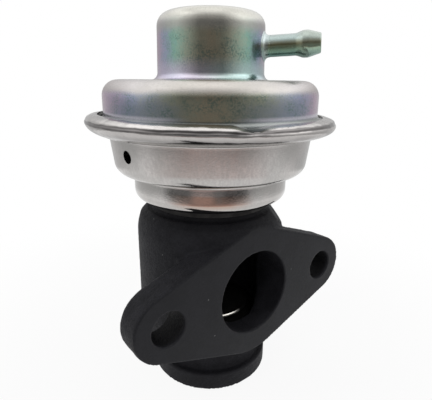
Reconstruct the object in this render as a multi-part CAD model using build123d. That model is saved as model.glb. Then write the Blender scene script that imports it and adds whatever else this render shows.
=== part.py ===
"""A vacuum-operated exhaust gas recirculation valve: a poppet in a cast housing under a diaphragm actuator.

The valve axis is Z, from the centre of the outlet spigot's end face (the origin) up to the actuator cap. The
inlet flange faces -Y. All sizes are in millimetres. Every piece is one node, written to parts/NODE.step.
"""

import os
from math import atan2, cos, degrees, radians, sin, sqrt

from build123d import *

# ---- Driving dimensions: the casting ----
BARREL_RADIUS = 20.9
BARREL_BASE_Z = 14.2
BARREL_HEIGHT = 36.2
BARREL_DRAFT_IN = 1.0
BARREL_DRAFT_DOWN = 4.6
BARREL_BEVEL_IN = 1.9
BARREL_BEVEL_DOWN = 1.5
BARREL_RELIEF_IN = 4.3
BARREL_RELIEF_DOWN = 5.2
BARREL_RELIEF_ANGLE = -37.1
LAND_RADIUS = 16.5
LAND_HEIGHT = 1.1
SPIGOT_RADIUS = 17.2
SPIGOT_LIP_HEIGHT = 5.3
SPIGOT_NECK_RADIUS = 15.3
SPIGOT_CHAMFER = 0.5
FLANGE_FACE_REACH = 20.05
FLANGE_THICKNESS = 7.5
FLANGE_HEIGHT = 30.5
FLANGE_HUB_RADIUS = 17.9
FLANGE_EDGE_FILLET = 0.6
LOBE_RADIUS = 8.8
BOLT_SPACING = 54.0
BOLT_HOLE_RADIUS = 4.4
PORT_RADIUS = 11.5
PORT_DEPTH = 8.4
OUTLET_RADIUS = 11.5
CHAMBER_RADIUS = 14.2
CHAMBER_MARGIN = 0.3
CAST_FILLET = 1.2
CREASE_FILLET = 0.5
DRAFT_FILLET = 14.0
FLANGE_ROOT_FILLET = 2.2

# ---- Driving dimensions: the valve train ----
STEM_RADIUS = 3.0
SEAT_THROAT_RADIUS = 9.8
SEAT_FACE_WIDTH = 1.3
SEAT_HEIGHT = 5.2
SEAT_WALL = 3.7
SEAT_LEAD_IN = 1.0
SEAT_LEAD_IN_HEIGHT = 1.5
HEAD_OVERHANG = 0.35
HEAD_RIM = 1.0
HEAD_CROWN = 2.0
HEAD_HUB_RADIUS = 4.6
HEAD_HUB_HEIGHT = 0.6
RIVET_RADIUS = 2.2
RIVET_BUTTON = 1.1
VALVE_LIFT = 6.0
GUIDE_RADIUS = 5.5
GUIDE_FLANGE_RADIUS = 7.6
GUIDE_SPIGOT_LENGTH = 2.6
GUIDE_SPIGOT_WALL = 1.5
GUIDE_NECK_WALL = 1.2
SHIELD_RADIUS = 8.4
SHIELD_DEPTH = 5.2
SHIELD_SHEET = 0.9
SEAL_WALL = 1.9
SEAL_HEIGHT = 2.4
RETAINER_SHEET = 0.6

# ---- Driving dimensions: the actuator ----
GASKET_THICKNESS = 2.0
DISH_RADIUS = 21.1
DISH_DEPTH = 6.9
BOWL_STEP_RADIUS = 25.8
BOWL_STEP_RISE = 1.0
BOWL_TOP_RADIUS = 27.1
BOWL_DEPTH = 8.4
DISH_FOOT_CORNER = 2.5
DISH_LIP_CORNER = 0.5
BOWL_CORNER = 3.0
FLARE_CORNER = 0.6
RIM_RADIUS = 33.0
RIM_FLARE_RISE = 2.95
RIM_HEIGHT = 3.1
RIM_CORNER = 1.5
CRIMP_WIDTH = 2.8
LOWER_SHEET = 0.8
UPPER_SHEET = 0.9
SHOULDER_LEDGE = 4.85
SHOULDER_HEIGHT = 9.4
SHOULDER_CORNER = 4.0
SHOULDER_FOOT_CORNER = 1.2
CAP_RADIUS = 13.75
CAP_HEIGHT = 16.3
CAP_CORNER = 3.5
CAP_FOOT_CORNER = 1.8
CAP_FLARE = 0.25
VENT_RADIUS = 1.6
VENT_COUNT = 2
VENT_ANGLE = 185.4
VENT_HEIGHT = 5.6
RUBBER_THICKNESS = 1.0
DIAPHRAGM_DROP = 2.7
DIAPHRAGM_BEAD_WIDTH = 3.2
PLATE_RADIUS = 17.6
PLATE_SHEET = 1.1
PLATE_RIM = 2.6
PLATE_CORNER = 1.8
PISTON_CORNER = 1.6
SPRING_WIRE_RADIUS = 1.0
SPRING_TURNS = 5.0
SPRING_SEAT_SHEET = 1.0
SPRING_SEAT_STEP = 2.0
SPRING_SEAT_CORNER = 1.5
SPRING_SEAT_FOOT_CORNER = 0.4
NUT_FLATS = 8.0
NUT_HEIGHT = 4.0
WASHER_RADIUS = 5.4
WASHER_THICKNESS = 0.8
STUD_RADIUS = 2.5
STUD_OVERRUN = 1.2

# ---- Driving dimensions: the cover screws ----
SCREW_COUNT = 3
SCREW_CIRCLE_RADIUS = 12.4
SCREW_RADIUS = 2.0
SCREW_DEPTH = 5.6
SCREW_HEAD_RADIUS = 3.5
SCREW_HEAD_HEIGHT = 2.6
SCREW_SOCKET_FLATS = 3.0
SCREW_FIRST_ANGLE = 90.0
LOCK_WASHER_THICKNESS = 0.7
LOCK_WASHER_SPLIT_ANGLE = 20.0
CLAMP_RING_SHEET = 1.5
CLAMP_RING_RADIUS = 16.6

# ---- Driving dimensions: the vacuum nipple ----
NIPPLE_ANGLE = -51.6
NIPPLE_TILT = 3.0
NIPPLE_DROP = 8.1
NIPPLE_RADIUS = 2.6
NIPPLE_BORE = 1.3
NIPPLE_LENGTH = 13.9
BARB_RADIUS = 3.2
BARB_START = 7.9
BARB_CREST = 9.6
BARB_LAND = 1.2
BARB_TIP_RADIUS = 2.35
BARB_ROUNDING = 1.5
NIPPLE_TIP_ROUNDING = 0.3
BRAZE_RADIUS = 1.0

# ---- Clearances, and how near an edge must lie to be the one looked for ----
NEAR = 0.01
RUNNING = 0.04
SLIP = 0.1
SEAT_GAP = 0.05
LOOSE = 0.5

# ---- Heights that follow, from the casting upwards ----
barrel_top_z = BARREL_BASE_Z + BARREL_HEIGHT
land_z = barrel_top_z + LAND_HEIGHT
chamber_floor_z = FLANGE_HEIGHT - PORT_RADIUS - CHAMBER_MARGIN
chamber_roof_z = FLANGE_HEIGHT + PORT_RADIUS + CHAMBER_MARGIN
dish_floor_z = land_z + GASKET_THICKNESS
dish_inner_z = dish_floor_z + LOWER_SHEET
ledge_z = dish_floor_z + DISH_DEPTH
step_z = ledge_z + BOWL_STEP_RISE
flare_z = step_z + BOWL_DEPTH
rim_base_z = flare_z + RIM_FLARE_RISE
rim_top_z = rim_base_z + RIM_HEIGHT
upper_flange_z = rim_top_z - LOWER_SHEET
clamp_z = upper_flange_z - UPPER_SHEET
shoulder_z = upper_flange_z + SHOULDER_HEIGHT
shoulder_radius = RIM_RADIUS - SHOULDER_LEDGE
cap_top_z = shoulder_z + CAP_HEIGHT
cap_inner_z = cap_top_z - UPPER_SHEET
web_top_z = clamp_z - DIAPHRAGM_DROP
plate_top_z = web_top_z - RUBBER_THICKNESS
stem_shoulder_z = plate_top_z - PLATE_SHEET
piston_floor_z = web_top_z + PLATE_SHEET
piston_rim_z = shoulder_z - UPPER_SHEET - VALVE_LIFT - LOOSE
clamp_ring_top_z = dish_inner_z + CLAMP_RING_SHEET
screw_head_z = clamp_ring_top_z + LOCK_WASHER_THICKNESS
spring_seat_z = cap_inner_z - SPRING_SEAT_STEP - SPRING_SEAT_SHEET
spring_radius = CAP_RADIUS - UPPER_SHEET - LOOSE - SPRING_WIRE_RADIUS
piston_radius = spring_radius + SPRING_WIRE_RADIUS + LOOSE + PLATE_SHEET
head_foot_z = chamber_floor_z - SEAT_FACE_WIDTH - LOOSE
head_rim_radius = SEAT_THROAT_RADIUS + SEAT_FACE_WIDTH + HEAD_OVERHANG


# ---- Forms that several pieces share ----
def turned(*points):
    """A solid of revolution about the valve axis, from its closed (radius, height) outline."""
    return revolve(Plane.XZ * make_face(Polyline(*points, close=True)), Axis.Z)


def tube(outer, inner, low, high):
    """A plain ring from one height to another."""
    return turned((inner, low), (outer, low), (outer, high), (inner, high))


def pressed(points, corners, sheet, side):
    """A sheet pressing turned about the axis: its outer (radius, height) line, corner radii and thickness."""
    with BuildSketch(Plane.XZ) as section:
        with BuildLine():
            FilletPolyline(*points, radius=corners)
            offset(amount=sheet, side=side)
        make_face()
    return revolve(section.sketch, Axis.Z)


def round_the_axis(piece, count, first_angle, radius, height):
    """Copies of a piece standing on a circle about the valve axis."""
    step = 360 / count
    return [Rot(0, 0, first_angle + i * step) * Pos(radius, 0, height) * piece for i in range(count)]


def edges_at(part, height, radius):
    """The full circles of a turned solid at one height and one radius."""
    circles = part.edges().filter_by(GeomType.CIRCLE)
    return [e for e in circles if abs(e.center().Z - height) < NEAR and abs(e.radius - radius) < NEAR]


# ---- The casting ----
def flange_outline():
    """The rhombic outline of the inlet flange: a hub circle and two bolt lobes joined by their tangents."""
    circles = Sketch() + Circle(FLANGE_HUB_RADIUS) + at_the_bolts(Circle(LOBE_RADIUS))
    return make_hull(circles.edges())


def flange_plate():
    """The inlet flange, its back edge rounded and its front edge just broken."""
    plate = extrude(flange_outline(), amount=-FLANGE_THICKNESS)
    plate = fillet(plate.faces().sort_by(Axis.Z)[0].edges(), CAST_FILLET)
    plate = fillet(plate.faces().sort_by(Axis.Z)[-1].edges(), FLANGE_EDGE_FILLET)
    return inlet_plane() * plate


def at_the_bolts(form):
    """Copies of a flat form at the two flange bolts, along X from the port."""
    return [Pos(x, 0) * form for x in (-BOLT_SPACING / 2, BOLT_SPACING / 2)]


def inlet_plane():
    """The machined inlet face, seen from outside."""
    return Plane(origin=(0, -FLANGE_FACE_REACH, FLANGE_HEIGHT), x_dir=(1, 0, 0), z_dir=(0, -1, 0))


def valve_body():
    """The iron casting: barrel, inlet flange and grooved outlet spigot, with its gas passage and bores."""
    base, top = BARREL_BASE_Z, barrel_top_z
    crease_radius = BARREL_RADIUS - BARREL_DRAFT_IN
    crease_z = top - BARREL_BEVEL_DOWN
    draft_z = top - BARREL_DRAFT_DOWN
    barrel = turned(
        (0, 0),
        (SPIGOT_RADIUS, 0),
        (SPIGOT_RADIUS, SPIGOT_LIP_HEIGHT),
        (SPIGOT_NECK_RADIUS, SPIGOT_LIP_HEIGHT),
        (SPIGOT_NECK_RADIUS, base),
        (BARREL_RADIUS, base),
        (BARREL_RADIUS, draft_z),
        (crease_radius, crease_z),
        (crease_radius - BARREL_BEVEL_IN, top),
        (0, top),
    )
    barrel = chamfer(edges_at(barrel, 0, SPIGOT_RADIUS), SPIGOT_CHAMFER)
    barrel = fillet(edges_at(barrel, base, SPIGOT_NECK_RADIUS), CAST_FILLET)
    barrel = fillet(edges_at(barrel, base, BARREL_RADIUS), CAST_FILLET)
    barrel = fillet(edges_at(barrel, draft_z, BARREL_RADIUS), DRAFT_FILLET)
    barrel = fillet(edges_at(barrel, crease_z, crease_radius), CREASE_FILLET)
    barrel = barrel - relief() + tube(LAND_RADIUS, 0, top, land_z)
    beyond_the_face = Pos(0, -FLANGE_FACE_REACH, FLANGE_HEIGHT) * Box(
        4 * BARREL_RADIUS, 2 * BARREL_RADIUS, 4 * BARREL_HEIGHT, align=(Align.CENTER, Align.MAX, Align.CENTER)
    )
    body = barrel - beyond_the_face + flange_plate() + flange_roots()

    passage = tube(CHAMBER_RADIUS, 0, chamber_floor_z, chamber_roof_z)
    outlet = Cylinder(OUTLET_RADIUS, chamber_floor_z, align=(Align.CENTER, Align.CENTER, Align.MIN))
    seat_pocket = tube(seat_outer_radius(), 0, chamber_floor_z - SEAT_HEIGHT, chamber_floor_z)
    bolt_circles = Sketch() + at_the_bolts(Circle(BOLT_HOLE_RADIUS))
    bolts = inlet_plane() * extrude(bolt_circles, amount=-FLANGE_THICKNESS)
    guide_bore = tube(GUIDE_RADIUS, 0, chamber_roof_z, land_z)
    hanging = (Align.CENTER, Align.CENTER, Align.MAX)
    tapping = Cylinder(SCREW_RADIUS + SLIP, SCREW_DEPTH + LOOSE, align=hanging)
    tappings = round_the_axis(tapping, SCREW_COUNT, SCREW_FIRST_ANGLE, SCREW_CIRCLE_RADIUS, land_z)
    return body - passage - outlet - seat_pocket - inlet_port() - bolts - guide_bore - tappings


def relief():
    """The flat that slants across the barrel's top on its right, a block turned to face outwards and up."""
    slant = degrees(atan2(BARREL_RELIEF_DOWN, BARREL_RELIEF_IN))
    standing = (Align.MIN, Align.CENTER, Align.CENTER)
    block = Box(BARREL_RADIUS, 4 * BARREL_RADIUS, 2 * BARREL_RADIUS, align=standing)
    foot = Pos(BARREL_RADIUS, 0, barrel_top_z - BARREL_RELIEF_DOWN)
    return Rot(0, 0, BARREL_RELIEF_ANGLE) * foot * Rot(0, slant - 90, 0) * block


def flange_roots():
    """The cast fillets up the back of the flange at the barrel, trimmed to the flange's own outline."""
    back = FLANGE_THICKNESS - FLANGE_FACE_REACH
    centre_y = back + FLANGE_ROOT_FILLET
    centre_x = sqrt((BARREL_RADIUS + FLANGE_ROOT_FILLET) ** 2 - centre_y**2)
    share = BARREL_RADIUS / (BARREL_RADIUS + FLANGE_ROOT_FILLET)
    on_barrel = (centre_x * share, centre_y * share)
    on_flange = (centre_x, back)
    corner = (sqrt(BARREL_RADIUS**2 - back**2), back)
    hollow = Pos(centre_x, centre_y) * Circle(FLANGE_ROOT_FILLET)
    line = Polyline((0, 0), corner, on_flange, (centre_x, centre_y), on_barrel, close=True)
    right = extrude(Plane.XY.offset(BARREL_BASE_Z) * (make_face(line) - hollow), amount=BARREL_HEIGHT)
    inside_outline = offset(flange_outline(), amount=-CAST_FILLET)
    trim = inlet_plane() * extrude(inside_outline, amount=-2 * FLANGE_FACE_REACH)
    return (right + mirror(right, about=Plane.YZ)) & trim


def inlet_port():
    """What the inlet takes out of the casting: a machined mouth, then a cored passage opening with draft."""
    cored_radius = PORT_RADIUS + CHAMBER_MARGIN - SEAT_GAP
    return inlet_plane() * turned(
        (0, 0),
        (PORT_RADIUS, 0),
        (PORT_RADIUS, -PORT_DEPTH),
        (cored_radius, -FLANGE_FACE_REACH),
        (0, -FLANGE_FACE_REACH),
    )


# ---- The seat, guide and seals ----
def seat_outer_radius():
    """The outside of the seat ring and of the pocket that it is pressed into."""
    return SEAT_THROAT_RADIUS + SEAT_WALL


def seat_ring():
    """The hardened ring that the poppet closes on, with its 45 degree seat face."""
    low, high = chamber_floor_z - SEAT_HEIGHT, chamber_floor_z
    throat = SEAT_THROAT_RADIUS
    return turned(
        (throat, low + SEAT_LEAD_IN_HEIGHT),
        (throat + SEAT_LEAD_IN, low),
        (seat_outer_radius(), low),
        (seat_outer_radius(), high),
        (throat + SEAT_FACE_WIDTH, high),
        (throat, high - SEAT_FACE_WIDTH),
    )


def guide_bush():
    """The stem guide: a flanged bush under the actuator, with a spigot below and a seal pocket above."""
    bore = STEM_RADIUS + RUNNING
    spigot = bore + GUIDE_SPIGOT_WALL
    return turned(
        (bore, chamber_roof_z - GUIDE_SPIGOT_LENGTH),
        (spigot, chamber_roof_z - GUIDE_SPIGOT_LENGTH),
        (spigot, shield_top_z()),
        (GUIDE_RADIUS, shield_top_z()),
        (GUIDE_RADIUS, land_z),
        (GUIDE_FLANGE_RADIUS, land_z),
        (GUIDE_FLANGE_RADIUS, dish_floor_z),
        (guide_neck_radius(), dish_floor_z),
        (guide_neck_radius(), guide_top_z()),
        (seal_outer_radius(), guide_top_z()),
        (seal_outer_radius(), guide_top_z() - SEAL_HEIGHT),
        (bore, guide_top_z() - SEAL_HEIGHT),
    )


def guide_neck_radius():
    """The bush's neck above its flange, which the dish is centred on."""
    return seal_outer_radius() + GUIDE_NECK_WALL


def guide_top_z():
    """The bush's upper face, above the dish floor."""
    return dish_inner_z + SEAL_HEIGHT


def shield_top_z():
    """The step on the bush that the deposit shield is pressed up to."""
    return chamber_roof_z - GUIDE_SPIGOT_LENGTH / 2


def seal_outer_radius():
    """The outside of the stem seal."""
    return STEM_RADIUS + RUNNING + SEAL_WALL


def deposit_shield():
    """The pressed cup under the guide that keeps soot off the stem."""
    top = shield_top_z()
    hole = STEM_RADIUS + RUNNING + GUIDE_SPIGOT_WALL
    line = [(hole, top), (SHIELD_RADIUS, top), (SHIELD_RADIUS, top - SHIELD_DEPTH)]
    return pressed(line, [2 * SHIELD_SHEET], SHIELD_SHEET, Side.RIGHT)


def stem_seal():
    """The graphite ring in the bush's pocket, round the stem."""
    low = guide_top_z() - SEAL_HEIGHT
    ring = tube(seal_outer_radius(), STEM_RADIUS + RUNNING, low, guide_top_z())
    return chamfer(edges_at(ring, guide_top_z(), STEM_RADIUS + RUNNING), SEAL_WALL / 4)


def seal_retainer():
    """The thin cap pressed over the bush's neck to hold the seal in."""
    neck, top = guide_neck_radius(), guide_top_z()
    return turned(
        (neck, top - SEAL_HEIGHT + SLIP),
        (neck + RETAINER_SHEET, top - SEAL_HEIGHT + SLIP),
        (neck + RETAINER_SHEET, top + RETAINER_SHEET),
        (STEM_RADIUS + 2 * LOOSE, top + RETAINER_SHEET),
        (STEM_RADIUS + 2 * LOOSE, top),
        (neck, top),
    )


def insulating_gasket():
    """The thick fibre ring that keeps the casting's heat from the actuator."""
    ring = tube(LAND_RADIUS, GUIDE_FLANGE_RADIUS + SLIP, land_z, dish_floor_z)
    return ring - screw_holes(land_z, GASKET_THICKNESS)


# ---- The actuator's shells ----
def screw_holes(low, thickness):
    """Clearance holes for the cover screws through a sheet."""
    hole = Cylinder(SCREW_RADIUS + SLIP, 3 * thickness)
    return round_the_axis(hole, SCREW_COUNT, SCREW_FIRST_ANGLE, SCREW_CIRCLE_RADIUS, low + thickness / 2)


def lower_cover():
    """The pressed lower housing: a dish, the vented bowl, and the rim crimped over the upper cover."""
    line = [
        (guide_neck_radius() + SLIP, dish_floor_z),
        (DISH_RADIUS, dish_floor_z),
        (DISH_RADIUS, ledge_z),
        (BOWL_STEP_RADIUS, step_z),
        (BOWL_TOP_RADIUS, flare_z),
        (RIM_RADIUS, rim_base_z),
        (RIM_RADIUS, rim_top_z),
        (RIM_RADIUS - CRIMP_WIDTH, rim_top_z),
    ]
    corners = [DISH_FOOT_CORNER, DISH_LIP_CORNER, BOWL_CORNER, FLARE_CORNER, RIM_CORNER, RIM_CORNER]
    cover = pressed(line, corners, LOWER_SHEET, Side.LEFT)
    vent = Rot(0, 90, 0) * Cylinder(VENT_RADIUS, 4 * LOWER_SHEET)
    vents = round_the_axis(vent, VENT_COUNT, VENT_ANGLE, vent_wall_radius(), vent_z())
    return cover - screw_holes(dish_floor_z, LOWER_SHEET) - vents


def vent_z():
    """The height of the vents in the bowl's wall."""
    return step_z + VENT_HEIGHT


def vent_wall_radius():
    """The bowl's tapering wall at the vents."""
    share = VENT_HEIGHT / BOWL_DEPTH
    return BOWL_STEP_RADIUS + share * (BOWL_TOP_RADIUS - BOWL_STEP_RADIUS)


def upper_cover():
    """The pressed upper housing: spring cap, shoulder and the flange that the rim is crimped over."""
    line = [
        (0, cap_top_z),
        (CAP_RADIUS, cap_top_z),
        (CAP_RADIUS + CAP_FLARE, shoulder_z),
        (shoulder_radius, shoulder_z),
        (shoulder_radius, upper_flange_z),
        (RIM_RADIUS - RIM_CORNER, upper_flange_z),
    ]
    corners = [CAP_CORNER, CAP_FOOT_CORNER, SHOULDER_CORNER, SHOULDER_FOOT_CORNER]
    cover = pressed(line, corners, UPPER_SHEET, Side.RIGHT)
    hole = nipple_plane() * Cylinder(NIPPLE_RADIUS + SEAT_GAP, 6 * UPPER_SHEET)
    return cover - hole


def nipple_plane():
    """Where the nipple's axis leaves the cap's wall, looking out along it."""
    turn, tilt = radians(NIPPLE_ANGLE), radians(NIPPLE_TILT)
    out = (cos(turn) * cos(tilt), sin(turn) * cos(tilt), sin(tilt))
    wall = CAP_RADIUS
    root = (wall * cos(turn), wall * sin(turn), cap_top_z - NIPPLE_DROP)
    return Plane(origin=root, z_dir=out)


def vacuum_nipple():
    """The hose nipple brazed into the cap: a bored tube with a barb and a braze fillet at its root."""
    barb_end = BARB_CREST + BARB_LAND
    tube_and_barb = turned(
        (NIPPLE_BORE, -UPPER_SHEET),
        (NIPPLE_RADIUS, -UPPER_SHEET),
        (NIPPLE_RADIUS, BARB_START),
        (BARB_RADIUS, BARB_CREST),
        (BARB_RADIUS, barb_end),
        (BARB_TIP_RADIUS, NIPPLE_LENGTH),
        (NIPPLE_BORE, NIPPLE_LENGTH),
    )
    for height, radius in ((BARB_START, NIPPLE_RADIUS), (BARB_CREST, BARB_RADIUS), (barb_end, BARB_RADIUS)):
        tube_and_barb = fillet(edges_at(tube_and_barb, height, radius), BARB_ROUNDING)
    tube_and_barb = fillet(edges_at(tube_and_barb, NIPPLE_LENGTH, BARB_TIP_RADIUS), NIPPLE_TIP_ROUNDING)
    braze = nipple_plane() * turned(
        (NIPPLE_RADIUS, -BRAZE_RADIUS),
        (NIPPLE_RADIUS + BRAZE_RADIUS, -BRAZE_RADIUS),
        (NIPPLE_RADIUS + BRAZE_RADIUS, 0),
        (NIPPLE_RADIUS + BRAZE_RADIUS / 3, BRAZE_RADIUS / 3),
        (NIPPLE_RADIUS, BRAZE_RADIUS),
    )
    return nipple_plane() * tube_and_barb + (braze - cap_core())


def cap_core():
    """Everything inside the cap's outer wall, which the braze fillet stays outside of."""
    return turned(
        (0, shoulder_z),
        (CAP_RADIUS + CAP_FLARE + SEAT_GAP, shoulder_z),
        (CAP_RADIUS + SEAT_GAP, cap_top_z),
        (0, cap_top_z),
    )


# ---- The cover's fastening, inside the dish ----
def clamp_ring():
    """The flat ring that spreads the screws' load over the dish floor."""
    inner = guide_neck_radius() + RETAINER_SHEET + 2 * LOOSE
    ring = tube(CLAMP_RING_RADIUS, inner, dish_inner_z, clamp_ring_top_z)
    return ring - screw_holes(dish_inner_z, CLAMP_RING_SHEET)


def cover_screws():
    """The socket screws that hold the actuator to the casting."""
    length = screw_head_z - land_z + SCREW_DEPTH
    screw = turned(
        (0, -length),
        (SCREW_RADIUS - LOOSE, -length),
        (SCREW_RADIUS, LOOSE - length),
        (SCREW_RADIUS, 0),
        (SCREW_HEAD_RADIUS, 0),
        (SCREW_HEAD_RADIUS, SCREW_HEAD_HEIGHT - LOOSE),
        (SCREW_HEAD_RADIUS - LOOSE, SCREW_HEAD_HEIGHT),
        (0, SCREW_HEAD_HEIGHT),
    )
    socket = hexagon(SCREW_SOCKET_FLATS, SCREW_HEAD_HEIGHT / 2, SCREW_HEAD_HEIGHT / 2)
    return at_the_screws(screw - socket, screw_head_z)


def at_the_screws(piece, height):
    """One group of copies of a piece, standing at the cover screws."""
    copies = round_the_axis(piece, SCREW_COUNT, SCREW_FIRST_ANGLE, SCREW_CIRCLE_RADIUS, height)
    return Compound(children=copies)


def lock_washers():
    """The split washers under the screw heads."""
    washer = tube(SCREW_HEAD_RADIUS, SCREW_RADIUS + SLIP, 0, LOCK_WASHER_THICKNESS)
    blade = Box(2 * SCREW_HEAD_RADIUS, LOOSE, 4 * LOCK_WASHER_THICKNESS)
    split = Pos(SCREW_HEAD_RADIUS, 0, 0) * Rot(LOCK_WASHER_SPLIT_ANGLE, 0, 0) * blade
    return at_the_screws(washer - split, clamp_ring_top_z)


def hexagon(flats, height, base):
    """A hexagonal prism of a given width across its flats."""
    return Pos(0, 0, base) * extrude(RegularPolygon(flats / 2, 6, major_radius=False), amount=height)


# ---- The moving stack, shown closed ----
def valve_stem():
    """The stem: riveted through the poppet at its foot, shouldered and threaded under the diaphragm's nut."""
    button_z = head_foot_z - RIVET_BUTTON
    stud_top = piston_floor_z + WASHER_THICKNESS + NUT_HEIGHT + STUD_OVERRUN
    return turned(
        (0, button_z),
        (STEM_RADIUS - LOOSE, button_z),
        (STEM_RADIUS + LOOSE, head_foot_z),
        (RIVET_RADIUS, head_foot_z),
        (RIVET_RADIUS, head_top_z()),
        (STEM_RADIUS, head_top_z()),
        (STEM_RADIUS, stem_shoulder_z),
        (STUD_RADIUS, stem_shoulder_z),
        (STUD_RADIUS, stud_top - LOOSE),
        (STUD_RADIUS - LOOSE, stud_top),
        (0, stud_top),
    )


def head_rim_z():
    """The height where the poppet's bevel meets its rim."""
    return bevel_z(head_rim_radius)


def head_top_z():
    """The top of the poppet's hub, which the stem's shoulder rests on."""
    return head_rim_z() + HEAD_RIM + HEAD_CROWN + HEAD_HUB_HEIGHT


def bevel_z(radius):
    """The poppet's 45 degree bevel, a hair above the closed seat face."""
    return chamber_floor_z - SEAT_FACE_WIDTH + radius - SEAT_THROAT_RADIUS + SEAT_GAP * sqrt(2)


def poppet_head():
    """The valve's head: a bevelled disc with a dished crown and a hub."""
    bore = RIVET_RADIUS
    foot_radius = SEAT_THROAT_RADIUS - LOOSE
    rim_top = head_rim_z() + HEAD_RIM
    head = turned(
        (bore, head_foot_z),
        (foot_radius - LOOSE, head_foot_z),
        (foot_radius, bevel_z(foot_radius)),
        (head_rim_radius, head_rim_z()),
        (head_rim_radius, rim_top),
        (head_rim_radius - HEAD_RIM, rim_top),
        (HEAD_HUB_RADIUS, rim_top + HEAD_CROWN),
        (HEAD_HUB_RADIUS, head_top_z()),
        (bore, head_top_z()),
    )
    return chamfer(edges_at(head, rim_top, head_rim_radius), HEAD_RIM / 4)


def support_plate():
    """The plate under the diaphragm, with its rim turned down."""
    line = [(STUD_RADIUS, plate_top_z), (PLATE_RADIUS, plate_top_z), (PLATE_RADIUS, plate_top_z - PLATE_RIM)]
    return pressed(line, [PLATE_CORNER], PLATE_SHEET, Side.RIGHT)


def piston_cup():
    """The cup above the diaphragm that centres the spring, its rim just short of the cover at full lift."""
    line = [(STUD_RADIUS, web_top_z), (piston_radius, web_top_z), (piston_radius, piston_rim_z)]
    return pressed(line, [PISTON_CORNER], PLATE_SHEET, Side.LEFT)


def diaphragm():
    """The moulded rubber diaphragm: a bead clamped in the rim and a web that falls to the plates."""
    bead_outer = RIM_RADIUS - RIM_CORNER - SLIP
    bead_inner = bead_outer - DIAPHRAGM_BEAD_WIDTH
    web_outer = PLATE_RADIUS + RUBBER_THICKNESS
    return turned(
        (STUD_RADIUS, plate_top_z),
        (web_outer, plate_top_z),
        (bead_inner, clamp_z - RUBBER_THICKNESS),
        (bead_inner, flare_inner_z(bead_inner) + SEAT_GAP),
        (bead_outer, flare_inner_z(bead_outer) + SEAT_GAP),
        (bead_outer, clamp_z),
        (bead_inner, clamp_z),
        (web_outer, web_top_z),
        (STUD_RADIUS, web_top_z),
    )


def flare_inner_z(radius):
    """The inside of the lower cover's flared rim at one radius."""
    slope = RIM_FLARE_RISE / (RIM_RADIUS - BOWL_TOP_RADIUS)
    return flare_z + slope * (radius - BOWL_TOP_RADIUS) + LOWER_SHEET * sqrt(1 + slope**2)


def stud_washer():
    """The flat washer in the piston cup."""
    return tube(WASHER_RADIUS, STUD_RADIUS + SEAT_GAP, piston_floor_z, piston_floor_z + WASHER_THICKNESS)


def stud_nut():
    """The nut that clamps the diaphragm between its plates."""
    base = piston_floor_z + WASHER_THICKNESS
    blank = hexagon(NUT_FLATS, NUT_HEIGHT, base)
    corner = NUT_FLATS / 2 + LOOSE
    top = base + NUT_HEIGHT
    bevel = turned((0, base), (corner, base), (corner, top - LOOSE), (NUT_FLATS / 2, top), (0, top))
    return (blank & bevel) - tube(STUD_RADIUS + SEAT_GAP, 0, base, top)


# ---- The spring and its seat ----
def spring_seat():
    """The top-hat pressing in the cap that centres the spring."""
    crown = spring_radius - SPRING_WIRE_RADIUS - LOOSE
    flange_z = cap_inner_z - SPRING_SEAT_STEP
    rim = spring_radius + SPRING_WIRE_RADIUS
    line = [(0, cap_inner_z), (crown, cap_inner_z), (crown, flange_z), (rim, flange_z)]
    return pressed(line, [SPRING_SEAT_CORNER, SPRING_SEAT_FOOT_CORNER], SPRING_SEAT_SHEET, Side.RIGHT)


def return_spring():
    """The compression spring that closes the valve, its ends ground flat."""
    low, high = piston_floor_z, spring_seat_z
    rise = high - low
    path = Helix(pitch=rise / SPRING_TURNS, height=rise, radius=spring_radius, center=(0, 0, low))
    wire = Plane(origin=path @ 0, z_dir=path % 0) * Circle(SPRING_WIRE_RADIUS)
    coil = sweep(wire, path=path, is_frenet=True)
    room = tube(spring_radius + 2 * SPRING_WIRE_RADIUS, spring_radius - 2 * SPRING_WIRE_RADIUS, low, high)
    return coil & room


# ---- Writing the nodes ----
NODES = (
    valve_body,
    seat_ring,
    guide_bush,
    deposit_shield,
    stem_seal,
    seal_retainer,
    insulating_gasket,
    lower_cover,
    clamp_ring,
    cover_screws,
    lock_washers,
    upper_cover,
    vacuum_nipple,
    spring_seat,
    return_spring,
    diaphragm,
    support_plate,
    piston_cup,
    stud_washer,
    stud_nut,
    valve_stem,
    poppet_head,
)

os.makedirs("parts", exist_ok=True)
for make in NODES:
    export_step(make(), f"parts/{make.__name__}.step")
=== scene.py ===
"""The look of an exhaust gas recirculation valve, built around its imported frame.

Lengths are in millimetres until a mesh is made, and the valve axis is Z.
The heights and radii that the frame gives are read from it, and the others are named below.
"""
from math import acos, atan2, cos, exp, hypot, pi, radians, sin, sqrt, tan

import bmesh
import bpy
import numpy as np
from mathutils import Matrix, Vector, noise

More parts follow.
